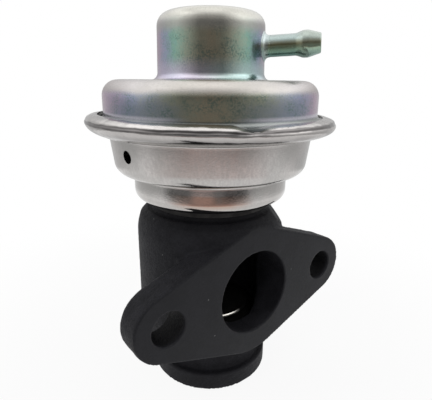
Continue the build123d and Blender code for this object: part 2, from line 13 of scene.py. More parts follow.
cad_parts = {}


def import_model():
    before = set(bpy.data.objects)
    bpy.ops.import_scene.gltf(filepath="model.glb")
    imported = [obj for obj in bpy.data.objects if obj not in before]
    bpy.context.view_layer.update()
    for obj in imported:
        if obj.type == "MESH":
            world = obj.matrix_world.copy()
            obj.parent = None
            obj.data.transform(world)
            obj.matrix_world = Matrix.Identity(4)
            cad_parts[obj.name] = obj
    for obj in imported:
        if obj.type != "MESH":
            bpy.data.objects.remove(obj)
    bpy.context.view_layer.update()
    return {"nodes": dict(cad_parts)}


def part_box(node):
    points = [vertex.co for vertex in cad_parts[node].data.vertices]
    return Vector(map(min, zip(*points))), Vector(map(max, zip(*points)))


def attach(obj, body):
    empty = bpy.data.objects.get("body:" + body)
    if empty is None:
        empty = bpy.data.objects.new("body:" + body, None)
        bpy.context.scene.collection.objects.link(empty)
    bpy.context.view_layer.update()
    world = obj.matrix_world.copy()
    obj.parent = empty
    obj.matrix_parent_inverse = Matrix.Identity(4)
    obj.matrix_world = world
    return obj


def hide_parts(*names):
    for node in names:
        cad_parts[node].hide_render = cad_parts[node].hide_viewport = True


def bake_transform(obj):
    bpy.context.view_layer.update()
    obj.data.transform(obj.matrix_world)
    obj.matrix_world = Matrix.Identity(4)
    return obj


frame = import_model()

MM = 0.001

# ---- Sizes that the frame gives ----
nodes = frame["nodes"]


def box_mm(node):
    """A node's lowest and highest corners, in millimetres."""
    low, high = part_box(node)
    return low / MM, high / MM


lower_low, lower_high = box_mm("lower_cover")
upper_low, upper_high = box_mm("upper_cover")
body_low, body_high = box_mm("valve_body")
rim_radius, dish_floor, rim_top = lower_high.x, lower_low.z, lower_high.z
flange_under, cap_top = upper_low.z, upper_high.z
face_y = body_low.y
land_z = body_high.z

# ---- Driving sizes of the pressings ----
LOWER_SHEET, UPPER_SHEET = 0.8, 0.9
NECK_HOLE_RADIUS = 6.24
DISH_RADIUS, DISH_DEPTH = 21.1, 6.9
BOWL_FOOT_RADIUS, BOWL_TOP_RADIUS, BOWL_DEPTH, LEDGE_RISE = 25.8, 27.1, 8.4, 1.0
RIM_FOOT, RIM_BULGE, RIM_BULGE_RADIUS, RIM_INNER_RADIUS, RIM_LEAN = 71.1, 74.15, 32.9, 29.6, 0.0115
VENT_RADIUS, VENT_ANGLE, VENT_HEIGHT = 1.6, 185.4, 5.6
CREASE_RISE, CREASE_DEPTH, CREASE_WIDTH = 0.35, 0.20, 0.38
DISH_CORNERS = (2.5, 0.5, 3.0, 0.6)    # the dish's foot, its step, the bowl's foot and the rim's foot
SHOULDER_LEDGE, SHOULDER_HEIGHT, CAP_RADIUS, CAP_FLARE = 4.85, 9.4, 13.75, 0.25
COVER_CORNERS = (3.5, 1.8, 4.0, 1.2)    # the cap's edge and foot, then the shoulder's

# ---- Driving sizes of the casting ----
FLANGE_HEIGHT, FLANGE_THICKNESS, BOLT_SPACING, BOLT_HOLE_RADIUS = 30.5, 7.5, 54.0, 4.4
PORT_RADIUS, PORT_DEPTH = 11.5, 8.4
SPIGOT_RADIUS, SPIGOT_LIP_HEIGHT = 17.2, 5.3
VOXEL = 0.36

# ---- Driving sizes of the nipple, spring and diaphragm ----
NIPPLE_ANGLE, NIPPLE_TILT, NIPPLE_DROP = -51.6, 3.0, 8.1
NIPPLE_RADIUS, NIPPLE_BORE, NIPPLE_LENGTH = 2.6, 1.3, 13.9
BARB_RADIUS, BARB_START, BARB_CREST, BARB_LAND, BARB_TIP_RADIUS = 3.2, 7.9, 9.6, 1.2, 2.35
SPRING_WIRE_RADIUS, SPRING_TURNS = 1.0, 5.0

OUTWARD = Vector((cos(radians(NIPPLE_ANGLE)), sin(radians(NIPPLE_ANGLE)), 0))
CROSSWISE = Vector((-OUTWARD.y, OUTWARD.x, 0))

# ---- Where marks and colour zones are ----
ZONE_TURN = radians(-127.6)    # the side that the photograph shows
FOLD_TURN = radians(-111)
FOLD_RISE, FOLD_SINK, NOTCH_DEPTH, NOTCH_WIDTH = 0.16, 0.14, 0.75, 4.2
# Where the painted glint on the poppet's rim lies: its side, height and radii.
GLINT_TURN, GLINT_HEIGHT, GLINT_IN, GLINT_OUT = radians(-104), 19.7, 11.0, 11.6
DENT_PLACE, DENT_DEPTH, DENT_WIDTH = Vector((-25.4, -8.4, 83.0)), 0.28, 2.6
CAP_FOOT, CAP_WALL = rim_top + 8.0, rim_top + 10.0

# ---- How finely the pieces are meshed ----
ROUND_SEGMENTS = 320
LINE_STEP = 0.55
ARC_STEP = radians(9)


# ---- Outlines ----
def rounded(points, radii, step=LINE_STEP):
    """An open (radius, height) line with its inner corners rounded, in steps that bend smoothly."""
    line = [Vector(p) for p in points]
    out = [line[0]]
    for i in range(1, len(line) - 1):
        before, corner, after = line[i - 1], line[i], line[i + 1]
        back, ahead = (before - corner).normalized(), (after - corner).normalized()
        half = acos(max(-1.0, min(1.0, back.dot(ahead)))) / 2
        reach = radii[i - 1] / tan(half)
        centre = corner + (back + ahead).normalized() * (radii[i - 1] / sin(half))
        start = corner + back * reach
        sweep = pi - 2 * half
        count = max(2, int(sweep / ARC_STEP))
        turn = 1 if back.x * ahead.y - back.y * ahead.x < 0 else -1
        arm = start - centre
        for k in range(count + 1):
            out.append(centre + Matrix.Rotation(turn * sweep * k / count, 2) @ arm)
    out.append(line[-1])
    fine = [out[0]]
    for a, b in zip(out, out[1:]):
        count = max(1, int((b - a).length / step))
        fine += [a.lerp(b, (k + 1) / count) for k in range(count)]
    return [p for i, p in enumerate(fine) if i == 0 or (p - fine[i - 1]).length > 1e-6]


def sheet_outline(outer, sheet, side):
    """The closed outline of a pressing: its outer line, and the same line one sheet away to one side."""
    inner = []
    for i, p in enumerate(outer):
        tangent = (outer[min(i + 1, len(outer) - 1)] - outer[max(i - 1, 0)]).normalized()
        inner.append(p + Vector((-tangent.y, tangent.x)) * sheet * side)
    inner[0].x = outer[0].x
    return outer + inner[::-1]


# ---- Meshes ----
def finish_mesh(name, mesh, material):
    """An object for a mesh, shaded smooth, with its material."""
    mesh.name = name
    for polygon in mesh.polygons:
        polygon.use_smooth = True
    mesh.materials.clear()
    mesh.materials.append(material)
    piece = bpy.data.objects.new(name, mesh)
    bpy.context.scene.collection.objects.link(piece)
    return piece


def built(name, mesh, material):
    """An object from a mesh that was built in millimetres."""
    mesh.transform(Matrix.Scale(MM, 4))
    data = bpy.data.meshes.new(name)
    mesh.to_mesh(data)
    mesh.free()
    return finish_mesh(name, data, material)


def tube(name, rings, capped, mesh, material):
    """An object from rings of vertices: joined end to end, or with a cap at each end."""
    for a, b in zip(rings, rings[1:] if capped else rings[1:] + rings[:1]):
        for k in range(len(a)):
            mesh.faces.new((a[k], a[k - 1], b[k - 1], b[k]))
    if capped:
        mesh.faces.new(rings[0])
        mesh.faces.new(rings[-1][::-1])
    bmesh.ops.recalc_face_normals(mesh, faces=mesh.faces)
    return built(name, mesh, material)


def lathe(name, outline, material, segments=ROUND_SEGMENTS, shape=None, place=None):
    """A closed (radius, height) outline turned about Z. shape moves each point, and place sets it down."""
    mesh = bmesh.new()
    rings = []
    for r, z in outline:
        if r < 1e-6:
            rings.append([mesh.verts.new((0, 0, z))])
            continue
        angles = [2 * pi * k / segments for k in range(segments)]
        rings.append([mesh.verts.new((r * cos(a), r * sin(a), z)) for a in angles])
    for low, high in zip(rings, rings[1:] + rings[:1]):
        if len(low) == 1 and len(high) == 1:
            continue
        for k in range(segments):
            j = (k + 1) % segments
            if len(low) == 1:
                mesh.faces.new((low[0], high[j], high[k]))
            elif len(high) == 1:
                mesh.faces.new((low[k], low[j], high[0]))
            else:
                mesh.faces.new((low[k], low[j], high[j], high[k]))
    bmesh.ops.recalc_face_normals(mesh, faces=mesh.faces)
    if shape:
        mesh.normal_update()
        moved = [shape(v.co.copy(), v.normal.copy()) for v in mesh.verts]
        for v, co in zip(mesh.verts, moved):
            v.co = co
    if place:
        mesh.transform(place)
    return built(name, mesh, material)


def applied(piece):
    """The piece's mesh with its modifiers applied to it."""
    bpy.context.view_layer.update()
    shown = piece.evaluated_get(bpy.context.evaluated_depsgraph_get())
    mesh = bpy.data.meshes.new_from_object(shown)
    piece.modifiers.clear()
    old = piece.data
    piece.data = mesh
    bpy.data.meshes.remove(old)
    return piece


def cut(piece, cutter):
    """The piece less the cutter, which is thrown away."""
    boolean = piece.modifiers.new("cut", "BOOLEAN")
    boolean.operation = "DIFFERENCE"
    boolean.solver = "EXACT"
    boolean.object = cutter
    applied(piece)
    piece.data.set_sharp_from_angle(angle=radians(40))
    bpy.data.objects.remove(cutter)
    return piece


def ripple(point, scale, seed=0.0):
    """A smooth random value at a point, from about -1 to 1, that varies over about one scale."""
    return noise.noise(Vector((point.x / scale + seed, point.y / scale, point.z / scale)))


def hump(offset, width):
    """1 at no offset, and falling to nothing over about one width on either side."""
    return exp(-((offset / width) ** 2))


def smooth(low, high, value):
    """0 below low, 1 above high, and an even ease between them."""
    t = max(0.0, min(1.0, (value - low) / (high - low)))
    return t * t * (3 - 2 * t)


# ---- Materials ----
class Shade:
    """A material's nodes, built up by short calls. Lengths are in millimetres in the part's own frame."""

    def __init__(self, name):
        self.material = bpy.data.materials.new(name)
        self.material.use_nodes = True
        self.tree = self.material.node_tree
        self.shader = self.tree.nodes["Principled BSDF"]
        scaled = self.node("ShaderNodeVectorMath", operation="SCALE")
        self.put(self.node("ShaderNodeTexCoord").outputs["Object"], scaled.inputs[0])
        scaled.inputs["Scale"].default_value = 1 / MM
        self.point = scaled.outputs[0]

    def node(self, kind, **settings):
        made = self.tree.nodes.new(kind)
        for key, value in settings.items():
            setattr(made, key, value)
        return made

    def put(self, value, socket):
        """A link from a socket to another, or a plain value set on it. A colour gets its alpha here."""
        if isinstance(value, bpy.types.NodeSocket):
            self.tree.links.new(value, socket)
        elif socket.type == "RGBA":
            socket.default_value = (*value, 1)
        else:
            socket.default_value = value

    def math(self, operation, a, b=0.0):
        made = self.node("ShaderNodeMath", operation=operation)
        self.put(a, made.inputs[0])
        self.put(b, made.inputs[1])
        return made.outputs[0]

    def plus(self, a, b):
        return self.math("ADD", a, b)

    def minus(self, a, b):
        return self.math("SUBTRACT", a, b)

    def times(self, value, *others):
        for other in others:
            value = self.math("MULTIPLY", value, other)
        return value

    def size(self, value):
        return self.math("ABSOLUTE", value)

    def length(self, a, b):
        return self.math("SQRT", self.plus(self.times(a, a), self.times(b, b)))

    def split(self, vector):
        made = self.node("ShaderNodeSeparateXYZ")
        self.put(vector, made.inputs[0])
        return made.outputs

    def join(self, x, y, z):
        made = self.node("ShaderNodeCombineXYZ")
        for value, socket in zip((x, y, z), made.inputs):
            self.put(value, socket)
        return made.outputs[0]

    def noise(self, size, detail=3.0, roughness=0.55, at=None):
        """Noise from 0 to 1, with features of about one size in millimetres."""
        made = self.node("ShaderNodeTexNoise")
        self.put(self.point if at is None else at, made.inputs["Vector"])
        made.inputs["Scale"].default_value = 1 / size
        made.inputs["Detail"].default_value = detail
        made.inputs["Roughness"].default_value = roughness
        return made.outputs["Fac"]

    def drift(self, size, detail, roughness, reach):
        """Noise about 0, to shift a place by up to about half its reach either way."""
        return self.times(self.minus(self.noise(size, detail, roughness), 0.5), reach)

    def cells(self, size):
        made = self.node("ShaderNodeTexVoronoi")
        self.put(self.point, made.inputs["Vector"])
        made.inputs["Scale"].default_value = 1 / size
        return made.outputs["Distance"]

    def ease(self, value, low, high, from_value=0.0, to_value=1.0):
        made = self.node("ShaderNodeMapRange", interpolation_type="SMOOTHSTEP")
        self.put(value, made.inputs["Value"])
        ends = {"From Min": low, "From Max": high, "To Min": from_value, "To Max": to_value}
        for key, number in ends.items():
            made.inputs[key].default_value = number
        return made.outputs["Result"]

    def ramp(self, value, *stops):
        made = self.node("ShaderNodeValToRGB")
        self.put(value, made.inputs["Fac"])
        elements = made.color_ramp.elements
        for place, colour in stops[1:-1]:
            elements.new(place)
        for element, (place, colour) in zip(elements, stops):
            element.position = place
            element.color = (*colour, 1)
        return made.outputs["Color"]

    def mix(self, share, a, b):
        made = self.node("ShaderNodeMix", data_type="RGBA")
        colour = {s.identifier: s for s in [*made.inputs, *made.outputs]}
        self.put(share, colour["Factor_Float"])
        self.put(a, colour["A_Color"])
        self.put(b, colour["B_Color"])
        return colour["Result_Color"]

    def bump(self, height, depth):
        """A bump of a height from 0 to 1, depth millimetres deep."""
        made = self.node("ShaderNodeBump")
        made.inputs["Strength"].default_value = 1.0
        made.inputs["Distance"].default_value = depth * MM
        self.put(height, made.inputs["Height"])
        return made.outputs["Normal"]

    def around(self):
        """The radius from the valve axis, the azimuth in radians, and the height."""
        x, y, z = self.split(self.point)
        return self.length(x, y), self.math("ARCTAN2", y, x), z

    def facing(self, turn, side=ZONE_TURN):
        """The cosine and the sine of an azimuth, as seen from one side of the part."""
        away = self.minus(turn, side)
        return self.math("COSINE", away), self.math("SINE", away)

    def drawn(self, size):
        """Noise stretched round the axis, like the fine lines that a forming tool leaves."""
        stretch = 50
        radius, turn, z = self.around()
        return self.noise(size, 2.0, 0.6, self.join(radius, self.times(turn, stretch * size), z))

    def done(self, colour, roughness, metallic, normal, specular=0.5):
        self.put(colour, self.shader.inputs["Base Color"])
        self.put(roughness, self.shader.inputs["Roughness"])
        self.put(metallic, self.shader.inputs["Metallic"])
        self.put(normal, self.shader.inputs["Normal"])
        self.put(specular, self.shader.inputs["Specular IOR Level"])
        return self.material


# The passivation's colours, in the order in which they follow each other away from the photographed side.
STRAW, OLIVE, TEAL = (0.38, 0.33, 0.24), (0.34, 0.36, 0.28), (0.20, 0.35, 0.29)
BLUE, LILAC, PLAIN = (0.28, 0.31, 0.42), (0.42, 0.30, 0.40), (0.34, 0.35, 0.34)
CAP_FILM = (PLAIN, PLAIN, LILAC, BLUE, TEAL, OLIVE, STRAW, OLIVE, TEAL, BLUE, LILAC, PLAIN, PLAIN)
CAP_TURNS = (-180, -105, -72, -56, -40, -20, 0, 20, 40, 56, 76, 110, 180)
SHOULDER_FILM = (PLAIN, PLAIN, LILAC, BLUE, OLIVE, STRAW, OLIVE, BLUE, LILAC, PLAIN, PLAIN)
SHOULDER_TURNS = (-180, -105, -62, -38, -15, 0, 18, 44, 62, 110, 180)


def zoned_film(s, turn, upper, drift):
    """The film's colours in zones round the axis, in one row on the shoulder and another on the cap."""
    share = s.math("DIVIDE", s.minus(turn, ZONE_TURN - pi), 2 * pi)
    place = s.plus(s.plus(share, drift), s.drift(0.7, 3.0, 0.7, 0.06))
    zone = s.math("FRACT", s.plus(place, 1.0))
    rows = []
    for turns, film in ((SHOULDER_TURNS, SHOULDER_FILM), (CAP_TURNS, CAP_FILM)):
        rows.append(s.ramp(zone, *((angle / 360 + 0.5, colour) for angle, colour in zip(turns, film))))
    return s.mix(upper, *rows)


def marked_film(s, film, z, facing, upper, lower):
    """The film with pale streaks on the shoulder, and dark spots in patches on the photographed side."""
    streak, spot = (0.50, 0.50, 0.48), (0.11, 0.19, 0.165)
    streaks = s.times(s.ease(s.drawn(0.22), 0.50, 0.66), s.ease(s.noise(6.0, 2.0), 0.48, 0.62))
    film = s.mix(s.times(streaks, s.minus(1.0, upper), 0.30), film, streak)
    spots = s.times(s.ease(s.noise(0.42, 2.0, 0.6), 0.44, 0.60), s.ease(s.noise(3.8, 3.0), 0.40, 0.62))
    walls = s.math("MAXIMUM", s.times(upper, lower), s.ease(z, rim_top + 6.5, rim_top + 5.0))
    return s.mix(s.times(spots, s.ease(facing, 0.2, 0.8), walls, 0.65), film, spot)


def rainbow_zinc():
    """Zinc plate with a rainbow passivation: painted highlights at the cap's foot and the shoulder's ledge,
    painted shade low on the shoulder and inside the rim, and a rougher sheet with a pale painted highlight
    tint where it lies level.
    """
    s = Shade("rainbow_zinc")
    _, turn, z = s.around()
    facing, aside = s.facing(turn)
    sideways = s.size(aside)
    upper = s.ease(z, CAP_FOOT, CAP_WALL)
    drift = s.drift(9.0, 4.0, 0.6, 0.07)
    lower = s.ease(s.plus(z, s.times(drift, 30.0)), cap_top - 3.2, cap_top - 7.0)
    dulled, shaded, ledge_highlight = (0.36, 0.35, 0.325), (0.20, 0.235, 0.28), (0.60, 0.59, 0.66)
    film = zoned_film(s, turn, upper, drift)
    film = s.mix(s.times(upper, s.ease(lower, 0.0, 1.0, 0.85, 0.0)), film, dulled)
    low = s.times(s.ease(z, rim_top + 4.6, rim_top + 2.6), s.ease(sideways, 0.10, 0.34))
    film = s.mix(s.times(low, s.ease(facing, 0.50, 0.80), 0.5), film, shaded)
    film = marked_film(s, film, z, facing, upper, lower)
    # Painted highlight: a pale lilac and pale cyan band round the cap's foot, standing in for its bright
    # reflections.
    foot = s.times(s.ease(z, cap_top - 10.5, cap_top - 14.5), s.ease(z, CAP_FOOT, CAP_FOOT + 1.0))
    foot_highlight = s.mix(s.ease(aside, -0.35, 0.35), (0.50, 0.45, 0.57), (0.40, 0.52, 0.52))
    film = s.mix(s.times(foot, 0.75), film, foot_highlight)
    # Painted highlight: a pale line along the shoulder's foot, on the sides, standing in for a reflection.
    ledge = s.times(s.ease(z, rim_top + 1.3, rim_top + 0.6), s.ease(sideways, 0.12, 0.4))
    film = s.mix(s.times(ledge, 0.8), film, ledge_highlight)
    rise = s.size(s.split(s.node("ShaderNodeNewGeometry").outputs["Normal"])[2])
    steep = s.times(foot, s.ease(rise, 0.97, 0.80))
    level = s.times(s.ease(rise, 0.12, 0.50), s.minus(1.0, steep))
    # Painted highlight tint: level faces get a paler, plainer colour, as under the bright reflections from
    # above.
    level_highlight_tint = s.mix(upper, (0.44, 0.415, 0.395), (0.42, 0.412, 0.375))
    colour = s.mix(s.times(level, 0.88), film, level_highlight_tint)
    # Painted shade: the flange tucked inside the rolled rim is darkened.
    inside = s.ease(z, rim_top + 0.5, rim_top + 0.1)
    colour = s.mix(s.times(inside, 0.65), colour, (0.13, 0.16, 0.16))
    speckle = s.noise(0.32, 2.0, 0.7)
    colour = s.mix(s.ease(speckle, 0.45, 0.75, 0.0, 0.20), colour, (0.13, 0.14, 0.13))
    satin = s.times(level, s.minus(1.0, upper), 0.12)
    rough = s.plus(s.ease(s.noise(1.4, 4.0, 0.65), 0.3, 0.7, 0.18, 0.26), satin)
    height = s.plus(s.times(speckle, 0.7), s.times(s.drawn(0.25), 0.5))
    return s.done(colour, rough, 1.0, s.bump(height, 0.012))


def rainbow_tube():
    """The passivation on the nipple: olive at its middle and teal below, with a pale painted highlight above
    and painted shade underneath, finely speckled.
    """
    s = Shade("rainbow_tube")
    x, y, z = s.split(s.point)
    along = s.plus(s.times(x, OUTWARD.x), s.times(y, OUTWARD.y))
    rise = s.times(s.minus(along, CAP_RADIUS), tan(radians(NIPPLE_TILT)))
    above = s.minus(s.minus(z, cap_top - NIPPLE_DROP), rise)
    place = s.ease(s.plus(above, s.drift(1.6, 4.0, 0.6, 0.9)), -BARB_RADIUS, BARB_RADIUS)
    # Film colours with painted light in them: the pale top stands in for a highlight, and the darkest teal
    # underneath is painted shade.
    film = s.ramp(
        place,
        (0.00, (0.10, 0.22, 0.22)),
        (0.25, (0.28, 0.44, 0.33)),
        (0.50, (0.23, 0.22, 0.12)),
        (0.75, (0.28, 0.34, 0.33)),
        (1.00, (0.30, 0.35, 0.34)),
    )
    barb = CAP_RADIUS + BARB_START
    film = s.mix(s.times(s.ease(along, barb - 0.5, barb + 2.0), 0.30), film, (0.36, 0.37, 0.29))
    root = s.ease(along, CAP_RADIUS + 1.7, CAP_RADIUS + 0.6)
    film = s.mix(s.times(root, 0.55), film, (0.46, 0.51, 0.52))
    speckle = s.noise(0.3, 2.0, 0.7)
    colour = s.mix(s.ease(speckle, 0.4, 0.75, 0.0, 0.25), film, (0.12, 0.13, 0.11))
    rough = s.ease(s.noise(1.2, 3.0), 0.3, 0.7, 0.17, 0.24)
    return s.done(colour, rough, 1.0, s.bump(speckle, 0.008))


def drawn_steel():
    """Satin drawn steel, with fine lines round the axis, a duller worked rim, a painted dark reflection along
    the rim's crease with painted shade under the rim's bead, and a painted warm reflection on one side of the
    dish.
    """
    s = Shade("drawn_steel")
    _, turn, z = s.around()
    facing, _ = s.facing(turn)
    step = dish_floor + DISH_DEPTH
    lines, bands, worked = s.drawn(0.35), s.drawn(1.5), s.noise(1.1, 4.0, 0.7)
    rim = s.ease(z, RIM_FOOT, RIM_FOOT + 1.5)
    colour = s.mix(s.ease(s.noise(7.0, 3.0), 0.35, 0.65), (0.51, 0.49, 0.475), (0.46, 0.45, 0.435))
    colour = s.mix(s.ease(lines, 0.35, 0.7, 0.0, 0.26), colour, (0.36, 0.35, 0.34))
    colour = s.mix(s.ease(bands, 0.38, 0.62, 0.0, 0.20), colour, (0.37, 0.35, 0.345))
    colour = s.mix(s.times(rim, 0.5), colour, (0.44, 0.42, 0.41))
    colour = s.mix(s.times(rim, s.ease(worked, 0.60, 0.75, 0.0, 0.45)), colour, (0.24, 0.22, 0.21))
    # Painted reflection and shade: a dark line along the rim's crease, over its real groove, and darkening
    # under the rim's bead.
    wavy = s.plus(z, s.drift(5.0, 3.0, 0.6, 0.6))
    crease = s.ease(s.size(s.minus(wavy, RIM_BULGE + CREASE_RISE)), 0.58, 0.28, 0.0, 0.86)
    under = s.times(s.ease(wavy, RIM_BULGE - 0.7, RIM_BULGE - 2.0, 0.0, 0.60), rim)
    colour = s.mix(s.math("MAXIMUM", crease, under), colour, (0.105, 0.098, 0.098))
    # Painted reflection: a warm tint on one side of the dish, between its foot and its step.
    above_foot = s.ease(z, dish_floor + 1.0, dish_floor + 2.4)
    below_step = s.ease(z, dish_floor + 5.2, dish_floor + 4.5)
    warm_reflection = s.times(s.ease(facing, 0.86, 1.0), below_step, above_foot)
    warm_reflection = s.times(warm_reflection, s.ease(s.noise(5.0, 2.0), 0.25, 0.6, 0.4, 0.85))
    colour = s.mix(warm_reflection, colour, (0.44, 0.33, 0.27))
    dish = s.ease(z, step, step - 0.3)
    bowl = s.times(s.ease(z, step, step + 0.4), s.minus(1.0, rim))
    rough = s.plus(s.ease(worked, 0.3, 0.7, 0.15, 0.20), s.times(dish, -0.08))
    rough = s.plus(rough, s.times(bowl, s.ease(bands, 0.35, 0.65, 0.02, 0.07)))
    height = s.plus(s.times(lines, 0.5), s.times(worked, rim, 1.5))
    return s.done(colour, rough, 1.0, s.bump(height, 0.012))


def bolt_bores(s, x, y, z):
    """Where the two bolt holes' walls are."""
    aside = s.minus(s.size(x), BOLT_SPACING / 2)
    reach = s.length(aside, s.minus(z, FLANGE_HEIGHT))
    wall = s.ease(reach, BOLT_HOLE_RADIUS + 0.6, BOLT_HOLE_RADIUS + 0.3)
    return s.times(wall, s.ease(y, face_y + 0.3, face_y + 1.6))


def cast_iron():
    """Black phosphated iron: a sandy cast skin, a smoother inlet face, and painted shade in the bolt holes and
    on the neck under the bowl.
    """
    s = Shade("cast_iron")
    x, y, z = s.split(s.point)
    face = s.ease(y, face_y + 0.35, face_y + 0.12)
    sand, grit, patches = s.noise(0.55, 4.0, 0.7), s.cells(0.42), s.noise(6.0, 4.0, 0.6)
    skin = s.mix(s.ease(patches, 0.3, 0.7), (0.0105, 0.0105, 0.0130), (0.0195, 0.0195, 0.0235))
    skin = s.mix(s.ease(sand, 0.35, 0.75, 0.0, 0.5), skin, (0.007, 0.007, 0.008))
    ground = s.mix(s.ease(patches, 0.35, 0.65), (0.0165, 0.0167, 0.0200), (0.0135, 0.0137, 0.0162))
    ground = s.mix(s.ease(sand, 0.45, 0.8, 0.0, 0.35), ground, (0.010, 0.010, 0.0118))
    colour = s.mix(face, skin, ground)
    # Painted shade: the bolt holes' walls are darkened.
    colour = s.mix(s.times(bolt_bores(s, x, y, z), 0.85), colour, (0.003, 0.003, 0.0035))
    # Painted shade: the casting's neck under the bowl is darkened.
    neck_shade = s.ease(z, land_z - 5.0, land_z - 1.5)
    colour = s.mix(s.times(neck_shade, 0.5), colour, (0.004, 0.004, 0.005))
    chips = s.times(s.ease(s.cells(4.2), 0.045, 0.03), s.ease(s.noise(11.0, 0.0), 0.52, 0.6))
    colour = s.mix(chips, colour, (0.16, 0.16, 0.16))
    rough = s.plus(s.minus(0.62, s.times(face, 0.16)), s.ease(sand, 0.3, 0.7, -0.05, 0.06))
    height = s.minus(sand, s.times(grit, 0.35))
    height = s.times(height, s.ease(face, 0.0, 1.0, 1.0, 0.22))
    return s.done(colour, rough, 0.0, s.bump(height, 0.16), 0.14)


def plain_metal(name, light, dark, rough, size, metallic=1.0, depth=0.01, lines=True):
    """A simple worked metal: two tones in soft patches, fine turning lines or grain, and uneven gloss."""
    s = Shade(name)
    patch = s.noise(size * 6, 3.0)
    grain = s.drawn(size * 0.6) if lines else s.noise(size * 0.6, 4.0, 0.65)
    colour = s.mix(s.ease(patch, 0.3, 0.7), light, dark)
    colour = s.mix(s.ease(grain, 0.45, 0.8, 0.0, 0.35), colour, tuple(0.6 * c for c in dark))
    gloss = s.ease(patch, 0.3, 0.7, rough, rough * 1.3)
    return s.done(colour, gloss, metallic, s.bump(grain, depth))


def grainy(name, light, dark, rough, size, metallic, depth):
    """A worked material with grain and no turning lines, such as rubber or wire."""
    return plain_metal(name, light, dark, rough, size, metallic, depth, lines=False)


def soot_and_shade_steel():
    """Heat-resistant steel at the seat, painted near black as soot and as the shade inside the port, with a
    bright polished strip on one side of the poppet's rim as a painted glint.
    """
    s = Shade("soot_and_shade_steel")
    radius, turn, z = s.around()
    facing, _ = s.facing(turn, GLINT_TURN)
    soot = s.noise(1.8, 4.0, 0.65)
    # Painted glint: a bright polished strip on the poppet's rim, on one side only.
    rim = s.times(s.ease(radius, GLINT_IN, GLINT_IN + 0.25), s.ease(radius, GLINT_OUT, GLINT_OUT - 0.1))
    side = s.times(s.ease(facing, 0.88, 0.97), s.ease(z, GLINT_HEIGHT - 0.25, GLINT_HEIGHT))
    glint_strip = s.times(rim, side, s.ease(soot, 0.25, 0.5, 0.6, 1.0))
    # Near black: soot, and painted shade inside the port.
    colour = s.mix(s.ease(soot, 0.35, 0.65), (0.005, 0.0048, 0.0046), (0.003, 0.0029, 0.0028))
    colour = s.mix(glint_strip, colour, (0.62, 0.60, 0.56))
    rough = s.ease(glint_strip, 0.0, 1.0, 0.6, 0.24)
    return s.done(colour, rough, glint_strip, s.bump(soot, 0.03), 0.08)


# ---- The pressings ----
def worked_rim(point, normal):
    """The rolled rim's hammer marks, fold, lean and uneven edge. The rest of the pressing waves a little."""
    share = smooth(RIM_FOOT - 0.3, RIM_BULGE - 1.0, point.z)
    inward = smooth(rim_radius - 1.9, RIM_INNER_RADIUS, hypot(point.x, point.y)) * share
    along = (atan2(point.y, point.x) - FOLD_TURN) * rim_radius
    waves = 0.04 * ripple(point, 15.0, 3.0)
    marks = 0.07 * ripple(point, 3.6, 11.0) + 0.035 * ripple(point, 1.5, 17.0)
    fold = FOLD_RISE * hump(along + 4.6, 1.6) - FOLD_SINK * hump(along, 1.2)
    above = point.z - RIM_BULGE - CREASE_RISE + 0.22 * ripple(point, 4.5, 37.0)
    crease = -CREASE_DEPTH * hump(above, CREASE_WIDTH)
    edge = 0.16 * ripple(point, 5.0, 23.0) + 0.07 * ripple(point, 1.5, 29.0)
    notch = -NOTCH_DEPTH * exp(-abs(along / NOTCH_WIDTH) ** 1.6) * smooth(RIM_BULGE, rim_top - 0.2, point.z)
    lean = RIM_LEAN * (point.x * sin(ZONE_TURN) - point.y * cos(ZONE_TURN)) * share
    outward = Vector((point.x, point.y, 0)).normalized()
    point = point + normal * (waves + share * (marks + fold + crease))
    return point + outward * (inward * edge) + Vector((0, 0, lean + notch))


def bead_line():
    """The rolled rim's outer line: a long underside out from the bowl, and a shorter crest back in."""
    count, start, fullness = 26, 2.1, 0.91
    quarter = [pi / 2 * k / count for k in range(count + 1)]
    out, back = RIM_BULGE_RADIUS - BOWL_TOP_RADIUS, RIM_BULGE_RADIUS - RIM_INNER_RADIUS
    low, high = RIM_BULGE - RIM_FOOT, rim_top - RIM_BULGE
    under = [Vector((BOWL_TOP_RADIUS + out * sin(t) ** fullness, RIM_BULGE - low * cos(t))) for t in quarter]
    crest = [Vector((RIM_INNER_RADIUS + back * cos(t), RIM_BULGE + high * sin(t))) for t in quarter]
    return [p for p in under if p.x > BOWL_TOP_RADIUS + start] + crest[1:]


def drill(radius, segments, place, material):
    """A short round cutter across a pressing's wall."""
    reach = 2.5
    outline = [(0, -reach), (radius, -reach), (radius, reach), (0, reach)]
    return lathe("drill", outline, material, segments, place=place)


def lower_shell(material):
    """The dish, the vented bowl and the rolled rim, one pressing."""
    ledge = dish_floor + DISH_DEPTH
    step = ledge + LEDGE_RISE
    line = [
        (NECK_HOLE_RADIUS, dish_floor),
        (DISH_RADIUS, dish_floor),
        (DISH_RADIUS, ledge),
        (BOWL_FOOT_RADIUS, step),
        (BOWL_TOP_RADIUS, RIM_FOOT),
        (BOWL_TOP_RADIUS + 2.0, RIM_FOOT),
    ]
    outline = sheet_outline(rounded(line, DISH_CORNERS) + bead_line(), LOWER_SHEET, 1)
    piece = lathe("lower_shell", outline, material, 2 * ROUND_SEGMENTS, worked_rim)
    wall = BOWL_FOOT_RADIUS + (BOWL_TOP_RADIUS - BOWL_FOOT_RADIUS) * VENT_HEIGHT / BOWL_DEPTH
    for angle in (VENT_ANGLE, VENT_ANGLE - 180):
        turn = radians(angle)
        across = Matrix.Rotation(turn, 4, "Z") @ Matrix.Translation((wall, 0, step + VENT_HEIGHT))
        cut(piece, drill(VENT_RADIUS, 72, across @ Matrix.Rotation(radians(90), 4, "Y"), material))
    return piece


